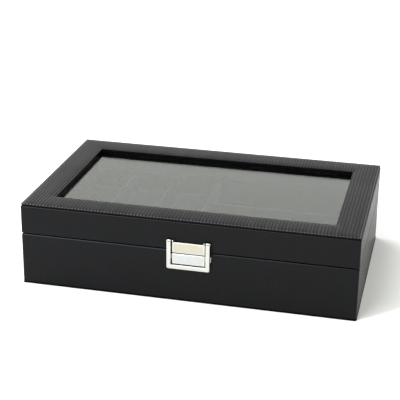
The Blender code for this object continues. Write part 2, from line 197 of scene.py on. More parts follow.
def roundedBlock(low, high, radius, arcSteps=4, flatSteps=(1, 1, 1)):
    # box with rounded edges: each point of a cube's surface is pulled to the nearest point of
    # the inner box, then pushed out again by the radius
    low, high = np.asarray(low, float), np.asarray(high, float)
    half, centre = (high - low) / 2, (high + low) / 2
    tangent = np.tan(np.linspace(math.pi / 4, 0, arcSteps + 1)) * radius
    support = min(0.15, radius / 2)
    lines = []
    for axis in range(3):
        core = half[axis] - radius
        flat = np.linspace(-core + support, core - support, flatSteps[axis] + 1)
        lines.append(np.concatenate([-core - tangent, flat, (core + tangent)[::-1]]))
    points, faces, start = [], [], 0
    for axis in range(3):
        u, v = (axis + 1) % 3, (axis + 2) % 3
        gridU, gridV = np.meshgrid(lines[u], lines[v], indexing="ij")
        for sign in (-1, 1):
            face = np.zeros(gridU.shape + (3,))
            face[..., u], face[..., v], face[..., axis] = gridU, gridV, sign * half[axis]
            quads = gridFaces(*gridU.shape) + start
            faces.append(quads if sign > 0 else quads[:, ::-1])
            points.append(face.reshape(-1, 3))
            start += face.shape[0] * face.shape[1]
    points = np.concatenate(points)
    inner = np.clip(points, radius - half, half - radius)
    outward = points - inner
    points = inner + radius * outward / np.linalg.norm(outward, axis=1, keepdims=True)
    _, first, index = np.unique(np.round(points, 4), axis=0, return_index=True,
                                return_inverse=True)
    return closedShell(points[first] + centre, index.reshape(-1)[np.concatenate(faces)])


def turnedShell(profile, origin, axis, steps=32):
    # (radius, along) profile from pole to pole, turned about a line through origin
    profile = np.asarray(profile, float)
    axis = np.asarray(axis, float) / np.linalg.norm(axis)
    side = np.cross(axis, (0.3, 0.5, 0.8))
    side /= np.linalg.norm(side)
    third = np.cross(axis, side)
    angle = np.arange(steps) / steps * 2 * math.pi
    around = np.cos(angle)[:, None] * side + np.sin(angle)[:, None] * third
    body = profile[1:-1]
    grid = body[:, 0, None, None] * around + body[:, 1, None, None] * axis
    poles = profile[[0, -1], 1][:, None] * axis
    points = np.concatenate([grid.reshape(-1, 3), poles]) + np.asarray(origin, float)
    rows, ring = len(body), np.arange(steps)
    follow, last = (ring + 1) % steps, (rows - 1) * steps
    first = np.stack([np.full(steps, rows * steps), follow, ring], 1)
    final = np.stack([np.full(steps, rows * steps + 1), ring + last, follow + last], 1)
    return closedShell(points, gridFaces(rows, steps, False, True), first, final)


def domedRod(radius, start, stop, edge):
    # profile of a rod from start to stop whose ends are rounded with radius edge
    angle = np.linspace(0, math.pi / 2, 5)
    near = np.stack([radius - edge + edge * np.sin(angle), start + edge - edge * np.cos(angle)], 1)
    far = np.stack([radius - edge + edge * np.cos(angle), stop - edge + edge * np.sin(angle)], 1)
    return np.concatenate([[(0, start)], near, far, [(0, stop)]])


def colour(hexValue):
    # sRGB hex to linear light
    channels = np.array([int(hexValue[k:k + 2], 16) for k in (1, 3, 5)]) / 255
    linear = np.where(channels <= 0.04045, channels / 12.92, ((channels + 0.055) / 1.055) ** 2.4)
    return (*linear.tolist(), 1.0)


def addNode(tree, kind, settings=None, links=None):
    # adds a node; a setting or a link is named by the node's property or input
    node = tree.nodes.new("ShaderNode" + kind)
    for key, value in (settings or {}).items():
        if isinstance(key, str) and hasattr(node, key):
            setattr(node, key, value)
        else:
            node.inputs[key].default_value = value
    for key, output in (links or {}).items():
        tree.links.new(output, node.inputs[key])
    return node


def newMaterial(name, baseColour, roughness, **inputs):
    material = bpy.data.materials.new(name)
    material.use_nodes = True
    tree = material.node_tree
    shader = tree.nodes["Principled BSDF"]
    shader.inputs["Base Color"].default_value = colour(baseColour)
    shader.inputs["Roughness"].default_value = roughness
    for key, value in inputs.items():
        shader.inputs[key.replace("_", " ")].default_value = value
    place = addNode(tree, "TexCoord").outputs["Object"]
    return material, tree, shader, place


def blend(tree, low, high, share):
    # colour between two sRGB hex values
    return addNode(tree, "Mix", {"data_type": "RGBA", 6: colour(low), 7: colour(high)},
                   {0: share}).outputs[2]


def dress(tree, shader, **outputs):
    # links outputs to the shader's inputs, whose names have a space for each underscore
    for key, output in outputs.items():
        tree.links.new(output, shader.inputs[key.replace("_", " ")])


# the looks' refractive indices are set low to keep the blacks dark; the skin itself is near 1.5
ribs = {"pitch": 3.3, "length": 70.0, "valley": 1.1, "grain": 0.35, "wander": 0.0006,
        "relief": 0.28}
# each look's dark colour is painted shade in the rib valleys and its light colour is painted sheen
# on the rib tops; the top's sheen is painted far brighter than the walls'
topLook = {"dark": "#020203", "light": "#343436", "smooth": 0.28, "dull": 0.42, "emboss": 0.14,
           "index": 1.19}
wallLook = {"dark": "#040406", "light": "#0b0b0e", "smooth": 0.34, "dull": 0.46, "emboss": 0.03,
            "index": 1.24}
# the reveal's look is a darker copy of the leather: painted shade in the window's recess
revealLook = {"dark": "#020203", "light": "#050506", "smooth": 0.5, "dull": 0.6, "emboss": 0.03,
              "index": 1.16}


def leatherMaterial(name, look, onWalls):
    # Leatherette: polyurethane skin with fine pressed ribs, satin black. The ribs' tops are
    # smoother than their dull valleys, and the colour also paints a sheen on the tops and shade in
    # the valleys.
    # Pores and small creases break them up.
    material, tree, shader, place = newMaterial(name, look["dark"], look["smooth"],
                                                IOR=look["index"])
    xyz = addNode(tree, "SeparateXYZ", links={0: place}).outputs
    if onWalls:  # ribs run up the walls
        along = xyz[2]
        across = addNode(tree, "Math", {"operation": "ADD"}, {0: xyz[0], 1: xyz[1]}).outputs[0]
    else:  # ribs run from front to back
        along, across = xyz[1], xyz[0]
    flat = addNode(tree, "CombineXYZ", links={0: along, 1: across}).outputs[0]
    drift = addNode(tree, "TexNoise", {"Scale": 220.0, "Detail": 2.0}, {"Vector": place})
    shift = addNode(tree, "VectorMath", {"operation": "SCALE", "Scale": ribs["wander"]},
                    {0: drift.outputs["Color"]}).outputs[0]
    bent = addNode(tree, "VectorMath", {"operation": "ADD"}, {0: flat, 1: shift}).outputs[0]
    rib = addNode(tree, "TexBrick", {
        "Scale": 1000.0, "Brick Width": ribs["length"], "Row Height": ribs["pitch"],
        "Mortar Size": ribs["valley"], "Mortar Smooth": 1.0, "Bias": 0.0, "offset": 0.5,
        "Color1": (0.55, 0.55, 0.55, 1), "Color2": (1, 1, 1, 1), "Mortar": (0, 0, 0, 1)},
        {"Vector": bent})
    grain = addNode(tree, "TexNoise", {"Scale": 1000 / ribs["grain"], "Detail": 4.0,
                                       "Roughness": 0.6}, {"Vector": place}).outputs[0]
    patch = addNode(tree, "TexNoise", {"Scale": 28.0, "Detail": 3.0}, {"Vector": place})
    top = addNode(tree, "Math", {"operation": "SUBTRACT", 0: 1.0},
                  {1: rib.outputs["Fac"]}).outputs[0]
    height = addNode(tree, "Math", {"operation": "MULTIPLY_ADD", 1: ribs["relief"]},
                     {0: grain, 2: top}).outputs[0]
    bump = addNode(tree, "Bump", {"Strength": 1.0, "Distance": look["emboss"] * mm},
                   {"Height": height})
    tone = addNode(tree, "Math", {"operation": "MULTIPLY"},
                   {0: rib.outputs["Color"], 1: patch.outputs[0]}).outputs[0]
    # base colour: the dark colour in the valleys is painted shade, the light colour on the rib
    # tops is painted sheen, and random patches vary it
    tint = blend(tree, look["dark"], look["light"], tone)
    rough = addNode(tree, "MapRange", {"To Min": look["dull"], "To Max": look["smooth"]},
                    {"Value": top})
    dress(tree, shader, Base_Color=tint, Roughness=rough.outputs[0], Normal=bump.outputs[0])
    return material


velvetLook = {"deep": "#060607", "lit": "#121214", "pile": 0.5, "nap": 14.0, "lift": 0.12,
              "roughness": 0.92, "index": 1.4, "sheen": 0.35, "soft": 0.45, "rim": "#9a9aa0"}


def velvetMaterial(name, deep, lit):
    # Flocked velvet: a short dense pile. It swallows light face on and shows a soft pale rim
    # where the pile is seen from the side; brushed patches are a little lighter.
    look = velvetLook
    material, tree, shader, place = newMaterial(
        name, deep, look["roughness"], IOR=look["index"], Sheen_Weight=look["sheen"],
        Sheen_Roughness=look["soft"], Sheen_Tint=colour(look["rim"]))
    pile = addNode(tree, "TexNoise", {"Scale": 1000 / look["pile"], "Detail": 3.0,
                                      "Roughness": 0.7}, {"Vector": place}).outputs[0]
    nap = addNode(tree, "TexNoise", {"Scale": 1000 / look["nap"], "Detail": 2.0},
                  {"Vector": place}).outputs[0]
    tone = addNode(tree, "Math", {"operation": "MULTIPLY"}, {0: pile, 1: nap}).outputs[0]
    tint = blend(tree, deep, lit, tone)
    bump = addNode(tree, "Bump", {"Strength": 0.8, "Distance": look["lift"] * mm},
                   {"Height": pile})
    dress(tree, shader, Base_Color=tint, Normal=bump.outputs[0])
    return material


brushing = {"hair": 0.12, "cloud": 260.0, "depth": 0.004}


def metalMaterial(name, bright, dull, roughness, brush):
    # Plated or drawn metal: mirror-like, with faint hairlines left by the polishing wheel and
    # small cloudy areas where it is handled.
    material, tree, shader, place = newMaterial(name, bright, roughness[0], Metallic=1.0)
    across = 1000 / brushing["hair"]
    hair = addNode(tree, "Mapping", {"Scale": (1000 / brush, across, across)},
                   {"Vector": place}).outputs[0]
    lines = addNode(tree, "TexNoise", {"Scale": 1.0, "Detail": 2.0}, {"Vector": hair}).outputs[0]
    cloud = addNode(tree, "TexNoise", {"Scale": brushing["cloud"], "Detail": 3.0},
                    {"Vector": place}).outputs[0]
    both = addNode(tree, "Math", {"operation": "MULTIPLY"}, {0: lines, 1: cloud}).outputs[0]
    rough = addNode(tree, "MapRange", {"From Min": 0.1, "From Max": 0.5,
                                       "To Min": roughness[0], "To Max": roughness[1]},
                    {"Value": both})
    tint = blend(tree, bright, dull, cloud)
    bump = addNode(tree, "Bump", {"Strength": 0.15, "Distance": brushing["depth"] * mm},
                   {"Height": lines})
    dress(tree, shader, Base_Color=tint, Roughness=rough.outputs[0], Normal=bump.outputs[0])
    return material


def fibreMaterial(name, dark, light, fibre, lift, roughness):
    # Pressed fibre, as in fibreboard, card and felt: short crossed fibres and specks, no gloss.
    material, tree, shader, place = newMaterial(name, dark, roughness, IOR=1.2)
    long = addNode(tree, "Mapping", {"Scale": (1000 / fibre, 250 / fibre, 1000 / fibre)},
                   {"Vector": place}).outputs[0]
    strands = addNode(tree, "TexNoise", {"Scale": 1.0, "Detail": 4.0}, {"Vector": long}).outputs[0]
    specks = addNode(tree, "TexVoronoi", {"Scale": 500 / fibre}, {"Vector": place}).outputs[0]
    tone = addNode(tree, "Math", {"operation": "MULTIPLY_ADD", 1: 0.35},
                   {0: specks, 2: strands}).outputs[0]
    tint = blend(tree, dark, light, tone)
    bump = addNode(tree, "Bump", {"Strength": 0.6, "Distance": lift * mm}, {"Height": tone})
    dress(tree, shader, Base_Color=tint, Normal=bump.outputs[0])
    return material


def glassMaterial():
    # Float glass: clear, with a green cast in its thickness. Its two fire-smooth faces mirror
    # the room and hide much of the inside.
    material, tree, shader, place = newMaterial("floatGlass", "#f3f8f5", 0.0, IOR=1.5,
                                                Transmission_Weight=1.0)
    smear = addNode(tree, "TexNoise", {"Scale": 18.0, "Detail": 4.0}, {"Vector": place})
    dress(tree, shader, Base_Color=blend(tree, "#eef6f1", "#fafdfb", smear.outputs[0]))
    return material


def threadMaterial():
    # Bonded polyester thread: black, lightly shiny, twisted at a pitch of half a millimetre. Its
    # colour is painted a light blue-grey as a highlight along the stitches.
    material, tree, shader, place = newMaterial("polyesterThread", "#50505a", 0.38, IOR=1.5)
    twist = addNode(tree, "TexWave", {"Scale": 628.0, "Distortion": 1.5, "wave_type": "BANDS",
                                      "bands_direction": "DIAGONAL"}, {"Vector": place})
    bump = addNode(tree, "Bump", {"Strength": 0.7, "Distance": 0.05 * mm},
                   {"Height": twist.outputs["Fac"]})
    # the twist's bands are painted lighter and darker as highlight and shade
    tint = blend(tree, "#3a3a44", "#74747f", twist.outputs["Fac"])
    dress(tree, shader, Base_Color=tint, Normal=bump.outputs[0])
    return material


topLeather = leatherMaterial("pressedLeatheretteTop", topLook, onWalls=False)
wallLeather = leatherMaterial("pressedLeatheretteWall", wallLook, onWalls=True)
# darker, duller leather for the window's reveal: painted shade in the recess
revealShadedLeather = leatherMaterial("revealLeatheretteShaded", revealLook, onWalls=True)
trayVelvet = velvetMaterial("flockedVelvet", velvetLook["deep"], velvetLook["lit"])
# paler velvet for the divider tops: painted sheen along their folds
foldedVelvet = velvetMaterial("foldedVelvet", "#2b2b2c", "#555557")
cushionVelvet = velvetMaterial("cushionVelvet", "#08080a", "#17171a")
nickel = metalMaterial("polishedNickel", "#c8c7c1", "#bfbdb7", (0.07, 0.16), 2.4)
brushedNickel = metalMaterial("brushedNickel", "#c0c1c0", "#b7b8b7", (0.16, 0.30), 4.0)
# warm-tinted nickel for the lid's inlay: a painted warm reflection
nickelWarmReflection = metalMaterial("brushedNickelWarmReflection", "#bfb9ac", "#b2aa9b", (0.16, 0.30), 4.0)
steel = metalMaterial("drawnSteel", "#c9c9c8", "#9c9c9b", (0.22, 0.38), 1.2)
# near-black boards: painted shade for the grooves where they show between the leathers
fibreboard = fibreMaterial("fibreboardPaintedShade", "#040404", "#0e0d0c", 0.9, 0.05, 0.9)
blackCard = fibreMaterial("blackCard", "#18181a", "#2c2c2e", 0.6, 0.03, 0.8)
# the bottom felt is black, and darker still as painted shade along the box's bottom edge
feltSheet = fibreMaterial("pressedFelt", "#010101", "#060606", 0.5, 0.08, 1.0)
glass = glassMaterial()
thread = threadMaterial()
print("materials made")


wrapLow, wrapHigh = boxOf("base_leather_wrap")
lidLow, lidHigh = boxOf("lid_leather_wrap")
coverLow, coverHigh = boxOf("lid_top_cover")
leftBoardHigh = boxOf("base_left_board")[1]
outX, outY = wrapHigh[0], wrapHigh[1]

covering = {"thickness": 0.8, "cornerRadius": 1.7, "baseRim": (0.7, 0.8), "lidRim": 1.0,
            "lidTop": (0.5, 0.6), "foot": 0.35, "uneven": 0.10, "baseDrop": 0.5,
            "lidDrop": 0.7, "lidRise": 0.1}


def wallCovering(name, low, high, rimAtTop, node, body):
    # L-shaped profile: a wall of leather, rolled over the rim and turned in over the boards
    thick = covering["thickness"]
    turnIn = outX + leftBoardHigh[0]
    if rimAtTop:  # the board's top edge is eased, and the leather follows it
        easeIn, easeDown = covering["baseRim"]
        corners = ((0, low, covering["foot"]), (0, high - easeDown, 0.35), (-easeIn, high, 0.35),
                   (-turnIn, high, 0.3), (-turnIn, high - thick, 0.3), (-thick, high - thick, 0.1),
                   (-thick, low, 0.3))
    else:
        easeIn, easeDown = covering["lidTop"]
        corners = ((0, low, covering["lidRim"]), (0, high - easeDown, 0.25), (-easeIn, high, 0.1),
                   (-easeIn - 0.1, high - 1.6, 0.05), (-thick, high - 1.8, 0.05),
                   (-thick, low + thick, 0.1), (-turnIn, low + thick, 0.3),
                   (-turnIn, low, 0.3))
    outline = roundedOutline(corners, steps=6)
    across, up = outline.T
    radius = np.maximum(covering["cornerRadius"] + across, 0.3)
    weight = np.clip(1 + across / thick, 0, 1) * np.clip((up - low) / 6, 0, 1)
    weight *= np.clip((high - up) / 6, 0, 1)
    grid = sweptFrame(outX + across, outY + across, radius, up, covering["uneven"], weight)
    return makePiece(name, [ringShell(grid)], wallLeather, body, (node,))


# both leathers stop short of their boards' edges, which leaves the dark lines between them
wallCovering("baseLeather", wrapLow[2], wrapHigh[2] - covering["baseDrop"], True,
             "base_leather_wrap", "base")
wallCovering("lidLeather", lidLow[2] + covering["lidRise"], lidHigh[2] - covering["lidDrop"],
             False, "lid_leather_wrap", "lid")

topPanel = {"padding": 0.8, "fullness": 3.0, "lift": 0.4, "ease": 0.5, "edgeRadius": 0.25,
            "windowRadius": 0.35, "windowCorner": 0.7, "skirt": 0.6, "roll": 1.1,
            # on the next line, the last two keys bound the reveal faces that take the darker
            # leather as painted shade
            "uneven": 0.09, "shadedRevealDrop": 0.75, "shadedRevealReach": 2.0,
            "stitchInset": 1.9, "channelWidth": 1.4, "channelDepth": 0.3, "stitchPitch": 3.3,
            "stitchLength": 2.5, "stitchRadius": 0.36, "stitchDip": 0.36, "slant": 0.16}
glassLow, glassHigh = boxOf("glass_pane")
retainerLow, retainerHigh = boxOf("glass_retainer_frame")
windowX, windowY = 140.3, 75.0
coverTop = coverHigh[2]
borderX = outX - windowX


def paddedHeight(across):
    # border's height: full in the middle, falling by the padding to both edges
    bulge = np.abs(2 * np.asarray(across) / borderX - 1) ** topPanel["fullness"]
    return coverTop + topPanel["lift"] - topPanel["padding"] * bulge


def topCovering():
    # Profile from the turned-down edge, over the rolled rim, through the stitched channel (a
    # raised cosine dip) and across the padded border to the window, then down the reveal.
    panel = topPanel
    thick, reveal = covering["thickness"], coverLow[2]
    low, under = coverTop - panel["skirt"], coverTop - thick - 0.2
    inset, width = panel["stitchInset"], panel["channelWidth"]
    border = np.unique(np.concatenate([np.linspace(panel["roll"], borderX - panel["roll"], 25),
                                       inset + width / 2 * np.linspace(-1, 1, 13)]))
    near = np.abs(border - inset) < width / 2
    dip = panel["channelDepth"] / 2 * (1 + np.cos(2 * math.pi * (border - inset) / width))
    middle = np.stack([border, paddedHeight(border) - dip * near], 1)
    ease, roll, inner = panel["ease"], panel["roll"], borderX - panel["roll"]
    start = roundedOutline(((thick, low, 0), (0, low, 0.1),
                            (ease, float(paddedHeight(ease)), panel["edgeRadius"]),
                            (roll, float(paddedHeight(roll)), 0)), steps=5)[:-1]
    stop = roundedOutline(((inner, float(paddedHeight(inner)), 0),
                           (borderX, float(paddedHeight(borderX)), panel["windowRadius"]),
                           (borderX, reveal, 0.2), (borderX - thick, reveal, 0),
                           (borderX - thick, under, 0), (thick, under, 0)), steps=7)[1:]
    across, up = np.concatenate([start, middle, stop]).T
    halfY = np.interp(across, (-1, 9, borderX - 4, borderX + 1),
                      (outY + 1, outY - 9, windowY + 4, windowY - 1))
    corner = covering["cornerRadius"]
    radius = np.interp(across, (0, corner - 0.3, 9, borderX - 4, borderX),
                       (corner, 0.3, 0.3, panel["windowCorner"] + 4, panel["windowCorner"]))
    grid = sweptFrame(outX - across, halfY, radius, up)
    soft = np.clip((across - 4) / 6, 0, 1) * np.clip((borderX - 2 - across) / 6, 0, 1)
    lift = handmade(grid[..., 0], grid[..., 1], grid[..., 2], panel["uneven"])
    grid[..., 2] += np.where(up > under + 0.2, soft, 0)[:, None] * lift
    piece = makePiece("topLeather", [ringShell(grid)], topLeather, "lid",
                      ("lid_top_cover",))
    # the window's reveal takes a darker, duller copy of the leather: painted shade in the recess
    reach = panel["shadedRevealReach"]
    repaint(piece, revealShadedLeather, lambda x, y, z: (z < coverTop - panel["shadedRevealDrop"]) & (
        np.abs(x) < windowX + reach) & (np.abs(y) < windowY + reach))
    return piece


topCovering()


def topStitching():
    # One stitch is a thread laid along an arch whose ends dive into the leather; copies stand
    # along the four sides of the channel, each turned a little off its line.
    panel = topPanel
    inset, pitch = panel["stitchInset"], panel["stitchPitch"]
    along = np.linspace(-1, 1, 9)
    around = np.arange(6) / 6 * 2 * math.pi
    radius = panel["stitchRadius"] * np.sqrt(np.clip(1.04 - along ** 4, 0.05, 1))
    arch = -panel["stitchDip"] * along ** 4
    length = panel["stitchLength"] / 2 * along[:, None] + 0 * around
    side = radius[:, None] * np.cos(around)
    height = arch[:, None] + radius[:, None] * np.sin(around)
    stitch = np.stack([length, side, height], -1)
    middle, turn = [], []
    for quarter, (half, other) in enumerate(((outX, outY), (outY, outX)) * 2):
        count = int(round(2 * (half - inset) / pitch))
        steps = (np.arange(count) + 0.5) / count * 2 - 1
        angle = quarter * math.pi / 2
        ahead = np.array((math.cos(angle), math.sin(angle)))
        outward = np.array((math.sin(angle), -math.cos(angle)))
        line = steps[:, None] * (half - inset) * ahead + outward * (other - inset)
        middle.append(line)
        turn.append(np.full(count, angle + panel["slant"]))
    middle, turn = np.concatenate(middle), np.concatenate(turn)
    cosine, sine = np.cos(turn)[:, None, None], np.sin(turn)[:, None, None]
    x = middle[:, 0, None, None] + cosine * stitch[..., 0] - sine * stitch[..., 1]
    y = middle[:, 1, None, None] + sine * stitch[..., 0] + cosine * stitch[..., 1]
    level = float(paddedHeight(inset)) - panel["channelDepth"] + 0.02
    z = level + np.broadcast_to(stitch[..., 2], x.shape)
    shells = [cappedShell(np.stack(part, -1)) for part in zip(x, y, z)]
    return makePiece("topStitching", shells, thread, "lid", sharpAngle=80)


topStitching()

foot = {"flare": 0.4, "edge": 0.6, "inside": 30}
sheetLow, sheetHigh = boxOf("bottom_sheet")
footOutline = roundedOutline(((-foot["inside"], sheetHigh[2], 0),
                              (0, sheetHigh[2], foot["edge"]), (0, sheetLow[2], foot["edge"]),
                              (-foot["inside"], sheetLow[2], 0)))
across, up = footOutline.T
footGrid = sweptFrame(sheetHigh[0] + across, sheetHigh[1] + across,
                      np.maximum(covering["cornerRadius"] + foot["flare"] + across, 0.3), up)
makePiece("bottomFelt", [cappedShell(footGrid)], feltSheet, "base", ("bottom_sheet",))
print("coverings made")


pane = {"arris": 0.5, "inside": 40, "corner": 0.8}
paneOutline = roundedOutline(((-pane["inside"], glassHigh[2], 0),
                              (0, glassHigh[2], pane["arris"]), (0, glassLow[2], pane["arris"]),
                              (-pane["inside"], glassLow[2], 0)), steps=3)
across, up = paneOutline.T
paneGrid = sweptFrame(glassHigh[0] + across, glassHigh[1] + across,
                      np.full(len(across), pane["corner"]), up, sideSteps=4)
makePiece("windowGlass", [cappedShell(paneGrid)], glass, "lid", ("glass_pane",))

retainer = {"edge": 0.6, "lap": 1.5, "corner": 0.8}
openX, openY = windowX + retainer["lap"], windowY + retainer["lap"]
wide = retainerHigh[0] - openX
retainerOutline = roundedOutline(((0, retainerLow[2], retainer["edge"]),
                                  (0, retainerHigh[2], 0.3), (-wide, retainerHigh[2], 0.3),
                                  (-wide, retainerLow[2], retainer["edge"])))
across, up = retainerOutline.T
retainerY = np.interp(across, (-wide, 0), (openY, retainerHigh[1]))
retainerGrid = sweptFrame(retainerHigh[0] + across, retainerY,
                          np.full(len(across), retainer["corner"]), up, sideSteps=12)
makePiece("glassRetainer", [ringShell(retainerGrid)], trayVelvet, "lid",
          ("glass_retainer_frame",))


lining = {"edge": 0.7, "dividerEdge": 1.15}


def velvetBoard(node, body, edge, spans=None):
    # velvet drawn round a card: a block with soft edges; spans cuts it into lengths along X
    low, high = boxOf(node)
    shells = []
    for start, stop in spans or ((low[0], high[0]),):
        shells.append(roundedBlock((start, low[1], low[2]), (stop, high[1], high[2]),
                                   edge, flatSteps=(6, 6, 4)))
    words = "".join(word.capitalize() for word in node.split("_"))
    piece = makePiece(words[0].lower() + words[1:], shells, trayVelvet, body, (node,))
    if node.startswith("divider"):  # the velvet along a divider's top is paler: painted sheen along the fold
        repaint(piece, foldedVelvet, lambda x, y, z: z > high[2] - edge)
    return piece


for part in ("base", "lid"):
    for side in ("left", "right", "front", "back"):
        velvetBoard(f"{part}_lining_{side}", part, lining["edge"])
velvetBoard("floor_lining", "base", lining["edge"])
for node in ("divider_long", "divider_watch_column_1", "divider_watch_column_2",
             "divider_glasses_1", "divider_glasses_2"):
    velvetBoard(node, "base", lining["dividerEdge"])
rowLow, rowHigh = boxOf("divider_watch_row")
edges = [rowLow[0]]
for node in ("divider_watch_column_1", "divider_watch_column_2"):
    columnLow, columnHigh = boxOf(node)
    edges += [columnLow[0] - 0.1, columnHigh[0] + 0.1]
edges.append(rowHigh[0])
velvetBoard("divider_watch_row", "base", lining["dividerEdge"],
            list(zip(edges[::2], edges[1::2])))
print("linings made")


cushion = {"shrink": 2.4, "voxel": 0.004, "pressure": 4.0, "travel": 3.2, "frames": 20,
           "pipeRadius": 0.7, "pipeInset": 4.2, "roundness": 2.9, "fill": 0.7, "wave": 0.35,
           "waveLength": 15}


def ovalPillow(half):
    # oval loaf: a superellipse in Y and Z carried along X, closing quickly at both ends
    angle = np.linspace(0, 2 * math.pi, 48, endpoint=False)
    power = 2 / cushion["roundness"]
    ovalY = np.sign(np.cos(angle)) * np.abs(np.cos(angle)) ** power * half[1]
    ovalZ = np.sign(np.sin(angle)) * np.abs(np.sin(angle)) ** power * half[2]
    along = np.sin(np.linspace(-math.pi / 2, math.pi / 2, 15))[1:-1]
    size = (1 - np.abs(along) ** 7) ** (1 / 3.5)
    grid = np.stack(np.broadcast_arrays(along[:, None] * half[0], size[:, None] * ovalY,
                                        size[:, None] * ovalZ), -1)
    return cappedShell(grid)


def evaluated(thing):
    return thing.evaluated_get(bpy.context.evaluated_depsgraph_get())


def pointsOf(mesh):
    points = np.empty(len(mesh.vertices) * 3, np.float32)
    mesh.vertices.foreach_get("co", points)
    return points.reshape(-1, 3).astype(float)


def inflated(shell):
    # closed form filled with air by the cloth solver, then smoothed by one subdivision
    points, blocks = shell
    mesh = bpy.data.meshes.new("pillowForm")
    mesh.from_pydata((points * mm).tolist(), [], [f for b in blocks for f in b.tolist()])
    form = bpy.data.objects.new("pillowForm", mesh)
    scene.collection.objects.link(form)
    remesh = form.modifiers.new("remesh", "REMESH")
    remesh.mode = "VOXEL"
    remesh.voxel_size = cushion["voxel"]
    form.data = bpy.data.meshes.new_from_object(evaluated(form))
    form.modifiers.clear()
    start = pointsOf(evaluated(form).data)
    cloth = form.modifiers.new("cloth", "CLOTH")
    cloth.settings.quality = 6
    cloth.settings.use_pressure = True
    cloth.settings.uniform_pressure_force = cushion["pressure"]
    cloth.settings.effector_weights.gravity = 0
    for frameNumber in range(1, cushion["frames"] + 1):
        scene.frame_set(frameNumber)
    moved = pointsOf(evaluated(form).data) - start
    form.modifiers.clear()
    travel = np.linalg.norm(moved, axis=1, keepdims=True)
    moved *= np.minimum(1, cushion["travel"] * mm / np.maximum(travel, 1e-9))
    form.data.vertices.foreach_set("co", (start + moved).astype(np.float32).ravel())
    scene.frame_set(1)
    smooth = form.modifiers.new("smooth", "SUBSURF")
    smooth.levels = smooth.render_levels = 1
    final = bpy.data.meshes.new_from_object(evaluated(form))
    faces = np.empty(len(final.loops), np.int32)
    final.loops.foreach_get("vertex_index", faces)
    bpy.data.objects.remove(form)
    return pointsOf(final) / mm, faces.reshape(-1, 4)


def pipedSeam(points, x):
    # thin cord round the oval at a given X: its distance from the middle follows the pillow
    near = points[np.abs(points[:, 0] - x) < 2.0]
    angle = np.arctan2(near[:, 2], near[:, 1])
    order = np.argsort(angle)
    reach = np.hypot(near[:, 1], near[:, 2])[order]
    around = np.linspace(-math.pi, math.pi, 96, endpoint=False)
    reach = np.interp(around, angle[order], reach, period=2 * math.pi)
    reach = (np.roll(reach, 1) + reach + np.roll(reach, -1)) / 3 - 0.2
    bend = np.arange(8) / 8 * 2 * math.pi
    distance = reach[:, None] + cushion["pipeRadius"] * np.cos(bend)
    grid = np.stack([x + cushion["pipeRadius"] * np.sin(bend) + 0 * distance,
                     distance * np.cos(around)[:, None], distance * np.sin(around)[:, None]], -1)
    return ringShell(grid)


cushionLow, cushionHigh = boxOf("watch_cushion_1")
halfSize = (cushionHigh - cushionLow) / 2
pillowPoints, pillowFaces = inflated(ovalPillow(halfSize - cushion["shrink"]))
pillowPoints = np.clip(pillowPoints, -halfSize + 0.05, halfSize - 0.05)
seams = [pipedSeam(pillowPoints, sign * (halfSize[0] - cushion["pipeInset"])) for sign in (-1, 1)]
for number in range(1, 7):
    low, high = boxOf(f"watch_cushion_{number}")
    middle = (low + high) / 2
    flip = np.array((1 if number % 2 else -1, 1 if number < 4 else -1, 1))
    shells = []
    for points, blocks in [closedShell(pillowPoints, pillowFaces)] + seams:
        squeezed = points * flip  # the tops also differ by a slow wave
        squeezed = squeezed + (0, 0, cushion["wave"]) * np.sin(
            squeezed[:, 1:2] / cushion["waveLength"] + number) * (squeezed[:, 2:3] > 0)
        squeezed = np.clip(squeezed, -halfSize, halfSize) + middle
        shells.append(closedShell(squeezed, *blocks))
    pillow = makePiece(f"watchPillow{number}", shells, cushionVelvet, f"cushion_{number}",
                       (f"watch_cushion_{number}",), sharpAngle=75)
print("cushions made")


latch = {"plateEdge": 0.5, "lugEdge": 0.35, "lugThickness": 1.1, "earRadius": 1.0,
         "knuckleRadius": 1.3, "plateTop": 62.9, "plateGap": 0.3, "lugGap": 0.35,
         "lugRise": 4.5, "earWidth": 1.3, "barWidth": 4.15, "barThickness": 1.9,
         "barEdge": 0.5, "crown": 0.12, "outerCorner": 1.7, "innerCorner": 0.5,
         "pinHead": 0.8, "pinSink": 0.35, "inlayRim": 1.7, "inlayProud": 0.12}
haspLow, haspHigh = boxOf("latch_hasp")
plateLow, plateHigh = boxOf("latch_lid_plate")
catchLow, catchHigh = boxOf("latch_catch_plate")
haspJoint = next(j for j in frame["joints"] if j["name"] == "hasp_hinge")
latchPivot = np.array(haspJoint["pos_m"]) / mm
latchX = latchPivot[0]
wallFace = -outY
plateFace = catchLow[1]
plateTop = latch["plateTop"]
plateHalf = (plateHigh[0] - plateLow[0]) / 2
haspHalf = (haspHigh[0] - haspLow[0]) / 2


def latchPlate(low, high):
    return roundedBlock((plateLow[0], plateFace, low),
                        (plateHigh[0], wallFace - latch["plateGap"], high),
                        latch["plateEdge"], flatSteps=(8, 1, 3))


shells = [latchPlate(plateLow[2], plateTop)]
for sign in (-1, 1):
    low, high = sorted((latchX + sign * (plateHalf - 0.1),
                        latchX + sign * (plateHalf - 0.1 - latch["earWidth"])))
    shells.append(turnedShell(domedRod(latch["earRadius"], low, high, 0.25),
                              (0, latchPivot[1], latchPivot[2]), (1, 0, 0)))
    shells.append(roundedBlock((low + 0.2, plateFace + 0.5, plateTop - 3),
                               (high - 0.2, wallFace - 0.8, latchPivot[2]), 0.3))
makePiece("latchLidPlate", shells, nickel, "lid", ("latch_lid_plate",))

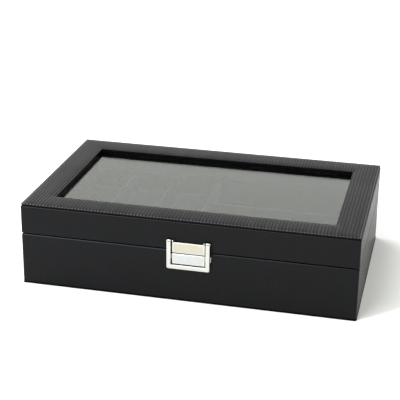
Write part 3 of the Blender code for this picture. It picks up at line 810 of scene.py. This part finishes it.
lugLow, lugHigh = catchLow[0], catchHigh[0]
lugFace = wallFace - latch["lugGap"]
shells = [latchPlate(catchLow[2], catchHigh[2]),
          roundedBlock((lugLow, lugFace - latch["lugThickness"],
                        catchLow[2] + latch["lugRise"]),
                       (lugHigh, lugFace, catchHigh[2] - 0.5), latch["lugEdge"],
                       flatSteps=(8, 1, 2))]
makePiece("latchCatchPlate", shells, nickel, "base", ("latch_catch_plate",))
rim = latch["inlayRim"]
# the lid's inlay is tinted warm as a painted reflection; the catch's inlay is plain brushed nickel
for name, low, high, finish, body in (
        ("latchLidInlay", plateLow[2], plateTop, nickelWarmReflection, "lid"),
        ("latchCatchInlay", catchLow[2], catchHigh[2], brushedNickel, "base")):
    inlay = roundedBlock((plateLow[0] + rim, plateFace - latch["inlayProud"], low + rim * 0.6),
                         (plateHigh[0] - rim, plateFace + 0.5, high - rim * 0.6), 0.1,
                         flatSteps=(6, 1, 3))
    makePiece(name, [inlay], finish, body)


def haspFrame():
    # U-shaped bar: the bar's section (flat back, crowned face, rounded edges) carried down one
    # arm, round two corners and up the other arm
    bar, thick, edge = latch["barWidth"], latch["barThickness"], latch["barEdge"]
    back = haspHigh[1] if haspHigh[1] < plateFace else plateFace - 0.3
    section = roundedOutline(((0, 0, 0.2), (0, thick, edge), (bar, thick, edge), (bar, 0, 0.2)))
    across, out = section.T
    out = out + latch["crown"] * np.where(out > thick - 0.01, 1, 0) * (
        1 - (2 * across / bar - 1) ** 2) - latch["crown"]
    halfX = (haspHigh[0] - haspLow[0]) / 2 - across[:, None]
    low = haspLow[2] + across[:, None]
    radius = latch["outerCorner"] + (latch["innerCorner"] - latch["outerCorner"]) * (
        across[:, None] / bar)
    turn = np.linspace(0, math.pi / 2, 9)
    top = latchPivot[2] - 0.2
    rise = np.linspace(0, 1, 7)[:-1]
    leftX = np.broadcast_to(-halfX, (len(across), len(rise)))
    leftZ = top + (low + radius - top) * rise
    cornerX = -halfX + radius * (1 - np.cos(turn))
    cornerZ = low + radius * (1 - np.sin(turn))
    floorX = (-halfX + radius) + 2 * (halfX - radius) * np.linspace(0, 1, 9)[1:-1]
    floorZ = np.broadcast_to(low, floorX.shape)
    x = np.concatenate([leftX, cornerX, floorX, -cornerX[:, ::-1], -leftX[:, ::-1]], 1)
    z = np.concatenate([leftZ, cornerZ, floorZ, cornerZ[:, ::-1], leftZ[:, ::-1]], 1)
    y = np.broadcast_to(back - out[:, None], x.shape)
    grid = np.stack([x + latchX, y, z], -1).transpose(1, 0, 2)
    return cappedShell(grid)


shells = [haspFrame()]
for sign in (-1, 1):
    low, high = sorted((latchX + sign * (haspHalf - latch["barWidth"] + 0.1),
                        latchX + sign * (haspHalf - 0.15)))
    shells.append(turnedShell(domedRod(latch["knuckleRadius"], low, high, 0.3),
                              (0, latchPivot[1], latchPivot[2]), (1, 0, 0)))
makePiece("latchHasp", shells, nickel, "hasp", ("latch_hasp",))

for side, sign in (("left", -1), ("right", 1)):
    outside = (haspHigh[0] if sign > 0 else haspLow[0]) - sign * latch["pinSink"]
    stub = domedRod(latch["pinHead"], 0, 0.75, 0.3)
    shells = [turnedShell(stub, (outside, latchPivot[1], latchPivot[2]), (sign, 0, 0))]
    makePiece(f"latchPin{side.capitalize()}", shells, steel, "lid",
              (f"latch_pin_{side}",))
print("latch made")


hinge = {"thickness": 0.9, "outer": 2.0, "edge": 0.3, "curl": 5.3, "start": 2.5, "reach": 12.0,
         "pinRadius": 1.05, "middleKnuckle": 5.0, "outerKnuckle": 5.3, "screwRadius": 1.9,
         "recess": 0.55, "armHalf": 0.3, "armLength": 1.15}
lidJoint = next(j for j in frame["joints"] if j["name"] == "lid_hinge")
hingeY, hingeZ = lidJoint["pos_m"][1] / mm, lidJoint["pos_m"][2] / mm


def curledStrip(low, high, direction):
    # strip of sheet: up the wall, then round the pin almost a full turn; its flat section is
    # carried along that path
    thick, middle = hinge["thickness"], hinge["outer"] - hinge["thickness"] / 2
    turn = np.linspace(0, hinge["curl"], 33)
    pathY = np.concatenate([[-middle, -middle], -middle * np.cos(turn)])
    pathZ = np.concatenate([[direction * 4.5, direction * 2], -direction * middle * np.sin(turn)])
    normalY = np.concatenate([[-1, -1], -np.cos(turn)])
    normalZ = np.concatenate([[0, 0], -direction * np.sin(turn)])
    section = roundedOutline(((low, -thick / 2, 0.2), (high, -thick / 2, 0.2),
                              (high, thick / 2, 0.2), (low, thick / 2, 0.2)), steps=3)
    width, out = section.T
    y = hingeY + pathY[:, None] + normalY[:, None] * out
    z = hingeZ + pathZ[:, None] + normalZ[:, None] * out
    x = np.broadcast_to(width, y.shape)
    return cappedShell(np.stack([x, y, z], -1))


def crossScrew(x, z, face):
    # countersunk screw: a shallow dome with a cross-shaped recess that fades out to the rim
    radius = hinge["screwRadius"]
    rings = np.linspace(0.12, radius, 13)
    angle = np.arange(48) / 48 * 2 * math.pi
    u, v = rings[:, None] * np.cos(angle), rings[:, None] * np.sin(angle)
    along = np.maximum(np.abs(u), np.abs(v))
    beside = np.minimum(np.abs(u), np.abs(v))
    inside = np.clip((hinge["armHalf"] - beside) / 0.12 + 0.5, 0, 1) * np.clip(
        (hinge["armLength"] - along) / 0.2 + 0.5, 0, 1)
    height = 0.45 * (1 - (rings[:, None] / radius) ** 2) - hinge["recess"] * inside
    top = np.stack([u, v, height], -1)
    under = [(radius, -0.15), (1.0, -0.9), (1.0, -8.0), (0.3, -9.0)]
    lower = np.array([[(r * math.cos(a), r * math.sin(a), h) for a in angle] for r, h in under])
    grid = np.concatenate([top, lower])
    placed = np.stack([x + grid[..., 0], face + grid[..., 2], z + grid[..., 1]], -1)
    return cappedShell(placed)


for side, level in ((s, l) for s in ("left", "right") for l in ("lower", "upper")):
    node = f"hinge_leaf_{level}_{side}"
    low, high = boxOf(node)
    centre, half = (low[0] + high[0]) / 2, (high[0] - low[0]) / 2
    direction = -1 if level == "lower" else 1
    body = "base" if level == "lower" else "lid"
    near, far = sorted((hingeZ + direction * hinge["start"],
                        hingeZ + direction * hinge["reach"]))
    leafBack = hingeY - hinge["outer"]
    shells = [roundedBlock((low[0], leafBack, near), (high[0], leafBack + hinge["thickness"], far),
                           hinge["edge"], flatSteps=(4, 1, 2))]
    inside, outside = hinge["middleKnuckle"], hinge["outerKnuckle"]
    spans = ((-half, -outside), (outside, half)) if level == "lower" else ((-inside, inside),)
    shells += [curledStrip(centre + a + 0.05, centre + b - 0.05, direction) for a, b in spans]
    makePiece(f"hingeLeaf{level.capitalize()}{side.capitalize()}", shells, nickel, body,
              (node,))
    for number in (1, 2):
        node = f"hinge_screw_{level}_{side}_{number}"
        low, high = boxOf(node)
        shell = crossScrew((low[0] + high[0]) / 2, (low[2] + high[2]) / 2,
                           leafBack + hinge["thickness"] + 0.12)
        makePiece(f"hingeScrew{level.capitalize()}{side.capitalize()}{number}", [shell], steel,
                  body, (node,))

for side in ("left", "right"):
    node = f"hinge_pin_{side}"
    low, high = boxOf(node)
    rod = domedRod(hinge["pinRadius"], low[0] - 0.1, high[0] + 0.1, 0.4)
    makePiece(f"hingePin{side.capitalize()}", [turnedShell(rod, (0, hingeY, hingeZ), (1, 0, 0))],
              steel, "base", (node,))
print("hinges made")


# boards left showing take the near-black fibreboard, painted shade in the grooves; frames take
# black card
for name, node in frame["nodes"].items():
    kept = {"board": fibreboard, "frame": blackCard}.get(name.split("_")[-1])
    if kept and not node.hide_render:
        node.data.materials.clear()
        node.data.materials.append(kept)


studio = {"floor": "#fafaf9", "floorReach": 6.0, "low": 1.05, "high": 0.86,
          "skyFrom": 0.34, "skyTo": 0.58, "tint": (0.99, 1.0, 0.955),
          "lampColour": (0.93, 0.965, 1.0), "lens": 102.24,
          "azimuth": 12.95, "elevation": 21.763, "roll": 0.7812, "distance": 1.2454,
          "target": (-0.02264, 0.05628, 0.04284)}
lamps = {"key": {"place": (-1.51, -1.64, 2.05), "size": 0.26, "power": 45.0},
         "overSoft": {"place": (-0.378, -0.954, 1.476), "size": 0.65, "power": 13.0},
         "backSoft": {"place": (-1.99, 1.15, 1.93), "size": 2.2, "power": 54.0}}

# Matt white background paper: plain and without gloss, so that only shadows mark it.
floorMaterial = newMaterial("floorPaper", studio["floor"], 1.0, Specular_IOR_Level=0.0)[0]
floorMesh = bpy.data.meshes.new("floor")
reach = studio["floorReach"]
floorMesh.from_pydata([(-reach, -reach, 0), (reach, -reach, 0), (reach, reach, 0),
                       (-reach, reach, 0)], [], [(0, 1, 2, 3)])
floorMesh.materials.append(floorMaterial)
floor = bpy.data.objects.new("floor", floorMesh)
scene.collection.objects.link(floor)

world = bpy.data.worlds.new("studio")
world.use_nodes = True
sky = world.node_tree  # bright white low down, a little dimmer overhead
height = addNode(sky, "SeparateXYZ", links={0: addNode(sky, "TexCoord").outputs["Generated"]})
level = addNode(sky, "MapRange", {"interpolation_type": "SMOOTHSTEP",
                                  "From Min": studio["skyFrom"], "From Max": studio["skyTo"],
                                  "To Min": studio["low"], "To Max": studio["high"]},
                {"Value": height.outputs[2]})
sky.nodes["Background"].inputs["Color"].default_value = (*studio["tint"], 1)
sky.links.new(level.outputs[0], sky.nodes["Background"].inputs["Strength"])
scene.world = world
scene.view_settings.view_transform = "Standard"

for name, lamp in lamps.items():
    lampData = bpy.data.lights.new(name, "AREA")
    lampData.energy, lampData.size = lamp["power"], lamp["size"]
    lampData.color = studio["lampColour"]
    stand = bpy.data.objects.new(name, lampData)
    stand.location = lamp["place"]
    stand.rotation_euler = (-Vector(lamp["place"])).to_track_quat("-Z", "Y").to_euler()
    stand.visible_transmission = False  # not physical: lessens the grain under the glass
    scene.collection.objects.link(stand)

azimuth, elevation, roll = (math.radians(studio[k]) for k in ("azimuth", "elevation", "roll"))
back = Vector((math.sin(azimuth) * math.cos(elevation), -math.cos(azimuth) * math.cos(elevation),
               math.sin(elevation)))
side = (-back).cross(Vector((0, 0, 1))).normalized()
upward = side.cross(-back)
right = math.cos(roll) * side + math.sin(roll) * upward
over = math.cos(roll) * upward - math.sin(roll) * side
cameraData = bpy.data.cameras.new("camera")
cameraData.lens = studio["lens"]
cameraData.sensor_width = 36.0
cameraData.clip_start, cameraData.clip_end = 0.05, 50.0
camera = bpy.data.objects.new("camera", cameraData)
camera.matrix_world = Matrix.Translation(Vector(studio["target"]) + back * studio["distance"]) @ (
    Matrix((right, over, back)).transposed().to_4x4())
scene.collection.objects.link(camera)
scene.camera = camera

print("scene ready")
